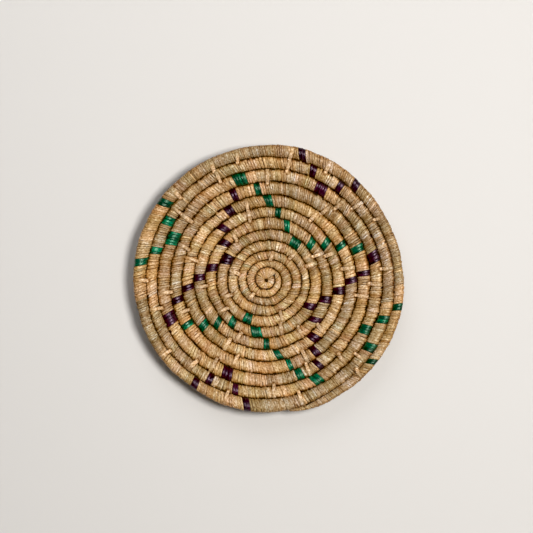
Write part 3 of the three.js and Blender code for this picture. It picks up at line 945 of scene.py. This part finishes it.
def strand_material(name, roughness, specular, sheen, streaks, blotches, bump, uneven, powers):
    """A split palm strand: fine streaks along it, blotches, and a satin skin. The powers say how
    much of the streaks and blotches each of red, green and blue shows."""
    material, tree = new_material(name)
    tree.nodes.clear()
    tone = node(tree, "Attribute")
    tone.attribute_name = "tone"
    place = node(tree, "UVMap")
    place.uv_map = "strand"
    fibre = noise_on(tree, place, scale=(420, 16, 1), detail=4, roughness=0.7)
    blotch = noise_on(tree, place, scale=(70, 42, 1), detail=2, roughness=0.5)
    streak = map_range(tree, fibre, streaks, source=(0.35, 0.65))
    mottle = map_range(tree, blotch, blotches, source=(0.3, 0.7))
    both = math_node(tree, "MULTIPLY", streak, mottle)
    parts = node(tree, "CombineXYZ", *[math_node(tree, "POWER", both, power) for power in powers])
    scaled = node(tree, "VectorMath", tone.outputs["Color"], parts.outputs["Vector"])
    scaled.operation = "MULTIPLY"
    swell = node(tree, "Bump", Height=blotch, Strength=uneven, Distance=0.00035)
    ridge = node(tree, "Bump", Height=fibre, Strength=bump, Distance=0.00012,
                 Normal=swell.outputs["Normal"])
    shader = node(
        tree, "BsdfPrincipled",
        Base_Color=scaled.outputs["Vector"],
        Roughness=map_range(tree, tone.outputs["Alpha"], (1, roughness)),
        Specular_IOR_Level=specular,
        Specular_Tint=sheen + (1,),
        Normal=ridge.outputs["Normal"],
    )
    node(tree, "OutputMaterial", Surface=shader.outputs["BSDF"])
    return material


def dyed_material(name, specular, sheen):
    return strand_material(name, roughness=0.36, specular=specular, sheen=sheen,
                           streaks=(0.6, 1.45), blotches=(0.2, 2.3), bump=0.9, uneven=0.5,
                           powers=(1, 1, 1))


STRAW = strand_material("straw", roughness=0.44, specular=0.6, sheen=(1, 0.88, 0.7),
                        streaks=(0.66, 1.33), blotches=(0.48, 1.46), bump=0.8, uneven=0.8,
                        powers=WARMER)
DYED = {
    "green": dyed_material("green_dyed", specular=0.8, sheen=(0.65, 1, 0.75)),
    "purple": dyed_material("purple_dyed", specular=0.65, sheen=(1, 0.75, 0.95)),
}


# Pieces
def add_object(name, data):
    made = bpy.data.objects.new(name, data)
    bpy.context.scene.collection.objects.link(made)
    return made


def place_piece(skin, name, *nodes, material=STRAW, slot="natural_strand", body="basket"):
    piece = add_object(name, skin.mesh(name))
    piece.data.materials.append(material)
    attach(piece, body)
    if nodes:
        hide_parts(*nodes)


def natural_wrap(name, start, end, seed):
    """One turn of natural strand, which stops at each coloured band and runs on under it."""
    skin = Skin(seed)
    bands = [(low, high) for low, high in BANDS if low > start and high < end]
    lows = [start] + [high + turns_for(LAP_GAP, high) for _, high in bands]
    highs = [low - turns_for(LAP_GAP, low) for low, _ in bands] + [end]
    for low, high in zip(lows, highs):
        stitches = stitches_on(low, high)
        add_laps(skin, low, high, NATURAL_LAPS, natural_tone, stitches, WRAP_BORE)
    for low, high in bands:
        tuck = turns_for(TUCK, low)
        colour = natural_tone(low, skin.chance)
        add_strip(skin, low - tuck, high + tuck, BRIDGE_WIDTH / 2, WRAP_WALL - BRIDGE_PROUD,
                  BAND_WALL + CLEARANCE, colour)
    place_piece(skin, name + "_laps", name)


def coloured_strand(name, dye, bands, number):
    skin = Skin(STRAND_SEED + number)
    shades = np.random.default_rng(SHADE_SEED + number).uniform(*BAND_SHADE, len(bands))
    for (low, high), shade in zip(bands, shades):
        stitches = stitches_on(low, high)
        add_laps(skin, low, high, DYED_LAPS, toned(dye, shade), stitches, BAND_BORE)
    if len(bands) == 2:
        (_, low), (high, _) = bands
        tuck = turns_for(TUCK, low)
        deep = -(WRAP_WALL + CLEARANCE)
        add_strip(skin, low - tuck, high + tuck, CARRIER_WIDTH / 2, deep, deep - CARRIER_THICK,
                  linear(dye))
    place_piece(skin, name + "_laps", name, material=DYED[dye], slot=dye + "_strand")


def make_winding():
    seams = [START_TURN] + [turn_at(count, SEAM_ANGLE) for count in range(2, TURNS + 1)]
    for i in range(len(seams) - 1):
        start = seams[i] + (turns_for(LAP_GAP, seams[i]) if i else 0)
        natural_wrap("natural_wrap_turn_%d" % (i + 1), start, seams[i + 1], WRAP_SEED + i)
    gap = turns_for(LAP_GAP, TURNS)
    natural_wrap("tail_wrap", seams[-1] + gap, TIP_FROM, TAIL_SEED)
    skin = Skin(TIP_SEED)
    add_laps(skin, TIP_FROM + gap, TURNS, NATURAL_LAPS, natural_tone, (), TIP_BORE)
    place_piece(skin, "tail_binding_laps", "tail_binding")
    for i, (name, dye, bands) in enumerate(STRANDS):
        coloured_strand(name, dye, bands, i)


def make_button():
    skin = Skin(BUTTON_SEED)
    shape = (button_point, button_size, np.zeros_like, button_run, lambda turn: CORD_WEAVE)
    stop = START_TURN - BUTTON_STOPS
    add_laps(skin, START_TURN - 1, stop, shape, natural_tone, (), BUTTON_BORE)
    for i, angle in enumerate(CROSSING_ANGLES):
        add_crossing(skin, angle, -HOLE_DEPTH - CROSSING_STEP * i)
    place_piece(skin, "centre_button_laps", "centre_button")


def add_crossing(skin, angle, depth):
    """A strand end that crosses behind the centre hole, painted dark as the shade in the hole."""
    length, width, thick = CROSSING
    ahead = np.array([math.sin(angle), 0, math.cos(angle)])
    aside = np.array([ahead[2], 0, -ahead[0]])
    lift = np.array([0, 1, 0])
    points = np.array([
        ahead * along * length + aside * side * width + lift * (depth + level * thick)
        for along in (-1, 1)
        for side, level in ((-1, -1), (-1, 1), (1, 1), (1, -1))
    ])
    faces = np.concatenate([tube_faces(2, 4), [[0, 1, 2, 3], [7, 6, 5, 4]]])
    skin.add_plain(points, faces, DUST_AND_SHADE * CROSSING_LIGHT, 0)


def travelled(path):
    """How far along the path each of its places lies."""
    return np.concatenate([[0], np.cumsum(np.hypot(*np.diff(path, axis=0).T))])


def on_path(distance, step, path):
    """The places at these distances along the path."""
    return stacked(*[np.interp(distance, step, values) for values in zip(*path)])


# Catch stitches
def stitch_path(turn):
    """The dish's front along a stitch, as radius and depth: over its own row, straight across
    the furrow, and over the row inside it."""
    path = []
    for row, begin, end in ((turn, STITCH_START, -HALF_PI), (turn - 1, HALF_PI, STITCH_TIP)):
        half_wide, half_thick = winding_size(row)
        around = np.linspace(begin, end, PATH_STEPS)
        along, front = oval(half_wide, half_thick, around, LAP_HEIGHT)
        path += list(zip(*row_point(row, along, front)))
    taut = []
    for place in path:
        while len(taut) > 1 and sags(taut[-2], taut[-1], place):
            taut.pop()
        taut.append(place)
    step = travelled(taut)
    even = np.linspace(0, step[-1], STITCH_STEPS)
    return on_path(even, step, taut), even


def sags(before, middle, after):
    """Whether the middle place lies behind the straight line between the other two."""
    run, rise = after[0] - before[0], after[1] - before[1]
    return (middle[1] - before[1]) * run < rise * (middle[0] - before[0])


def add_stitch(skin, turn):
    chance = skin.chance
    path, way = stitch_path(turn)
    share = np.linspace(0, 1, STITCH_STEPS)
    heading = np.gradient(path, axis=0)
    heading /= np.linalg.norm(heading, axis=1)[:, None]
    normal = stacked(heading[:, 1], -heading[:, 0])
    normal[normal[:, 1] > 0] *= -1
    over = smoothstep(share, *STITCH_PALES)
    start, tip, rise = STITCH_DEPTHS
    sunk = start * (1 - smoothstep(share, *STITCH_IN)) + tip * smoothstep(share, *STITCH_OUT)
    sunk = sunk - rise * smoothstep(share, *STITCH_RISES)
    half = STITCH_WIDTH / 2 * chance.uniform(*STITCH_VARIES)
    wide = half + half * (STITCH_TAPER - 1) * smoothstep(share, *STITCH_NARROWS)
    skew = chance.uniform(*STITCH_SKEW)
    rows = []
    for side, level in STITCH_RING:
        out = path + normal * (STITCH_THICK * level - sunk)[:, None]
        angle = angle_at(turn) + (side * wide + skew * (share - 0.5) * 2) / out[:, 0]
        rows.append(placed(out[:, 0], out[:, 1], angle))
    sides = len(STITCH_RING)
    last = (STITCH_STEPS - 1) * sides
    cap = np.array([[0, 1, 6, 7], [1, 2, 5, 6], [2, 3, 4, 5]])
    faces = np.roll(tube_faces(STITCH_STEPS, sides), 1, axis=1)
    faces = np.concatenate([faces, cap, last + cap[:, ::-1]])
    ring = faces // sides
    own = natural_tone(turn, chance)
    # Painted paler and lighter where it stands proud: partly its own paler tone, partly painted
    # light
    bright = linear("light") * STITCH_TINT * chance.uniform(*STITCH_BRIGHT)
    # Painted light and shade round the ribbon's section, and painted shade at its tip
    edge = STITCH_EDGE[faces % sides]
    shade = edge * (1 - STITCH_TIP_SHADE * smoothstep(share, *STITCH_DARKENS))[ring]
    painted = (own + (bright - own) * over[ring][..., None]) * shade[..., None] ** WARMER
    across = np.array([side for side, _ in STITCH_RING])[faces % sides] * half
    places = stacked(across + turn * STITCH_APART, way[ring])
    skin.add(np.stack(rows, axis=1), faces, painted, places)


def make_catch_stitches():
    for count, angles in CATCH_STITCHES.items():
        skin = Skin(CATCH_SEED + count)
        for angle in angles:
            add_stitch(skin, turn_at(count, angle))
        place_piece(skin, "catch_stitches_turn_%d" % count)


# The hanging loop and its stitches
def loop_route():
    """The loop's middle line, a straight bar below and an arch above, as x and z from the bar."""
    half = LOOP_WIDTH / 2
    corner = LOOP_CORNER_RADIUS
    turn = np.linspace(-HALF_PI, 0, CORNER_STEPS)
    right = stacked(half - corner + corner * np.cos(turn), corner + corner * np.sin(turn))
    arch = np.linspace(0, math.pi, ARCH_STEPS)
    top = stacked(half * np.cos(arch), LOOP_HEIGHT - half + half * np.sin(arch))
    left = right[::-1] * [-1, 1]
    return np.concatenate([right, top, left, right[:1]])


# The middle of the loop's bar, on the hinge
BAR = [value / MM for value in frame["joints"][0]["pos_m"]]


def make_loop():
    route = loop_route()
    step = travelled(route)
    length = step[-1]

    def at(place):
        return on_path(place % length, step, route)

    def point(place, along, front):
        ahead = at(place + LOOP_LOOK) - at(place - LOOP_LOOK)
        ahead /= np.linalg.norm(ahead, axis=-1)[..., None]
        middle = at(place)
        x = BAR[0] + middle[..., 0] - along * ahead[..., 1]
        z = BAR[2] + middle[..., 1] + along * ahead[..., 0]
        return stacked(x, BAR[1] - front, z)

    def size(place):
        round_size = np.full_like(place, LOOP_ROD_RADIUS * LOOP_UNDER_LAPS)
        return round_size, round_size

    skin = Skin(LOOP_SEED)
    shape = (point, size, lambda place: np.full_like(place, LOOP_LEAN), np.ones_like,
             lambda place: CORD_WEAVE)
    add_laps(skin, 0, length, shape, toned("tan"))
    place_piece(skin, "hanging_loop_laps", "hanging_loop", body="loop")


def make_loop_stitch(side, seed):
    """Three strands side by side, each a closed ring round the loop's bar."""
    name = "loop_stitch_" + side
    low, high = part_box(name)
    middle_x = (low[0] + high[0]) / 2 / MM

    def point(place, along, front):
        radius = STITCH_RADIUS - along
        return stacked(
            middle_x + shift + front,
            BAR[1] + radius * np.cos(place),
            BAR[2] + radius * np.sin(place),
        )

    def size(place):
        return tuple(np.full_like(place, value) for value in RING_SIZE)

    def run(place):
        return np.full_like(place, STITCH_RADIUS)

    skin = Skin(seed)
    for i in range(RING_COUNT):
        shift = (i - 1) * STITCH_LENGTH / RING_COUNT
        shape = (point, size, np.zeros_like, run, lambda place: RING_WEAVE)
        add_laps(skin, 0, math.tau, shape, toned("light"))
    place_piece(skin, name + "_strands", name)


# The core shows only in the small gaps between laps. The core and the sewing are painted near
# black, as the shade in the gaps and the furrows.
def core_size(turns):
    _, _, half_wide, half_thick = section(turns)
    wide, thick = CORE_LEAST
    return np.maximum(half_wide - CORE_UNDER, wide), np.maximum(half_thick - CORE_UNDER, thick)


def sewing_size(turns):
    thin = np.minimum(1, section(turns)[3] / SEWING_FULL)
    return SEWING_WIDE * thin, SEWING_THICK * thin


def make_core():
    skin = Skin()
    start, stop = START_TURN + CORE_INSET[0], TURNS - CORE_INSET[1]
    add_rope(skin, start, stop, 0, core_size, linear("tan") * CORE_SHADE)
    material = core_material()
    place_piece(skin, "core_fibres", "core_coil", material=material, slot="core_fibre")
    skin = Skin()
    start, stop = (START_TURN + turns for turns in SEWING_INNER)
    add_rope(skin, start, stop, -1, sewing_size, DUST_AND_SHADE)
    add_rope(skin, START_TURN, TURNS - SEWING_STOPS, 1, sewing_size, DUST_AND_SHADE)
    place_piece(skin, "sewing_between_rows", material=material)


def core_material():
    material, tree = new_material("core_fibre")
    grain = node(tree, "TexNoise", Scale=900, Detail=4)
    ramp = node(tree, "ValToRGB", Fac=grain.outputs["Fac"])
    # Near-black browns: painted shade, as the core and sewing are seen only deep in gaps and
    # furrows
    ramp.color_ramp.elements[0].color = (0.01, 0.004, 0.001, 1)
    ramp.color_ramp.elements[1].color = (0.05, 0.024, 0.008, 1)
    feed(tree, tree.nodes["Principled BSDF"], Base_Color=ramp.outputs["Color"], Roughness=0.85)
    return material


# Stage, lights and camera, in metres. The room is pale where the camera sees past the wall.
WALL = 0.0008
REACH = 4
FLOOR = -2.2
ROOM_LIGHT = 0.05
ROOM_SEEN = 0.62
FLOOR_GLOW = 0.45
BLACK_POINT = 0.013

# Lamps: place, size, power and colour
LAMPS = {
    "window": ((0.79, -2.26, 0.18), 0.74, 56, (1, 0.978, 0.945)),
    "ceiling_bounce": ((-0.25, -1.2, 1.15), 1.3, 8.4, (0.98, 0.985, 1)),
    "room_bounce": ((0.1, -3, 0.2), 2.5, 2.5, (1, 0.96, 0.89)),
    "back_fill": ((-0.1, 2.6, 0.25), 0.5, 26, (1, 0.98, 0.95)),
}
NOT_MIRRORED = ("ceiling_bounce", "room_bounce")

# The photo is this many pixels wide, and each is this many mm at the rim, which is nearer to the
# camera than the wall is. Lens and sensor are in mm.
PHOTO_PIXELS = 533
PIXEL_SIZE = 1.108
RIM_DEPTH = 0.03
CAMERA = (0.00025, -2.6, 0.0154)
SENSOR = 36


def plane(name, near, far, material):
    """A plane as wide as the room, between two edges given as depth and height."""
    data = bpy.data.meshes.new(name)
    corners = [(-REACH, *near), (REACH, *near), (REACH, *far), (-REACH, *far)]
    data.from_pydata(corners, [], [(0, 1, 2, 3)])
    data.materials.append(material)
    made = add_object(name, data)


def wall_paint():
    """Matt paint on the room's side of the wall. From behind the wall isn't there, and the light
    behind it shines through, but only on what the camera sees and not back onto the wall."""
    material, tree = new_material("wall_paint")
    tree.nodes.clear()
    paint = node(tree, "BsdfDiffuse", Color=(0.685, 0.669, 0.652, 1))
    clear = node(tree, "BsdfTransparent")
    sides = node(tree, "NewGeometry")
    rays = node(tree, "LightPath")
    direct = math_node(tree, "LESS_THAN", rays.outputs["Ray Depth"], 1.5)
    passing = math_node(tree, "MULTIPLY", rays.outputs["Is Shadow Ray"], direct)
    either = math_node(tree, "MAXIMUM", sides.outputs["Backfacing"], passing)
    mix = node(tree, "MixShader", either, paint.outputs["BSDF"], clear.outputs["BSDF"])
    node(tree, "OutputMaterial", Surface=mix.outputs["Shader"])
    return material


def floor_paint():
    """Pale matt paint, kept pale from above, where little of the lamps' light falls."""
    material, tree = new_material("floor_paint")
    rays = node(tree, "LightPath")
    glow = math_node(tree, "MULTIPLY", rays.outputs["Is Camera Ray"], FLOOR_GLOW)
    feed(tree, tree.nodes["Principled BSDF"], Base_Color=(0.7, 0.685, 0.665, 1), Roughness=0.9,
         Emission_Color=(1, 0.985, 0.965, 1), Emission_Strength=glow)
    return material


def make_stage():
    plane("wall", (WALL, FLOOR), (WALL, REACH), wall_paint())
    plane("floor", (-REACH, FLOOR), (WALL, FLOOR), floor_paint())


def make_lights():
    for name, (place, size, power, colour) in LAMPS.items():
        data = bpy.data.lights.new(name, "AREA")
        data.shape = "DISK"
        data.size = size
        data.energy = power
        data.color = colour
        lamp = add_object(name, data)
        lamp.location = place
        lamp.rotation_mode = "QUATERNION"
        lamp.rotation_quaternion = lamp.location.to_track_quat("Z", "Y")
        lamp.visible_glossy = name not in NOT_MIRRORED
    world = bpy.data.worlds.new("room")
    world.use_nodes = True
    tree = world.node_tree
    rays = node(tree, "LightPath")
    bright = map_range(tree, rays.outputs["Is Camera Ray"], (ROOM_LIGHT, ROOM_SEEN))
    feed(tree, tree.nodes["Background"], Color=(1, 0.97, 0.92, 1), Strength=bright)
    bpy.context.scene.world = world
    seen = bpy.context.scene.view_settings
    seen.view_transform = "Standard"
    seen.use_curve_mapping = True
    seen.curve_mapping.black_level = (BLACK_POINT, BLACK_POINT, BLACK_POINT)
    seen.curve_mapping.update()


def make_camera():
    """Straight on, at the photograph's framing."""
    data = bpy.data.cameras.new("camera")
    data.sensor_width = SENSOR
    data.lens = SENSOR * (-CAMERA[1] - RIM_DEPTH) / (PHOTO_PIXELS * PIXEL_SIZE * MM)
    camera = add_object("camera", data)
    camera.location = CAMERA
    camera.rotation_euler = (HALF_PI, 0, 0)
    bpy.context.scene.camera = camera


make_camera()
make_stage()
make_lights()
make_core()
make_button()
make_winding()
make_catch_stitches()
make_loop()
make_loop_stitch("left", LOOP_STITCH_SEED)
make_loop_stitch("right", LOOP_STITCH_SEED + 1)

bpy.context.view_layer.update()
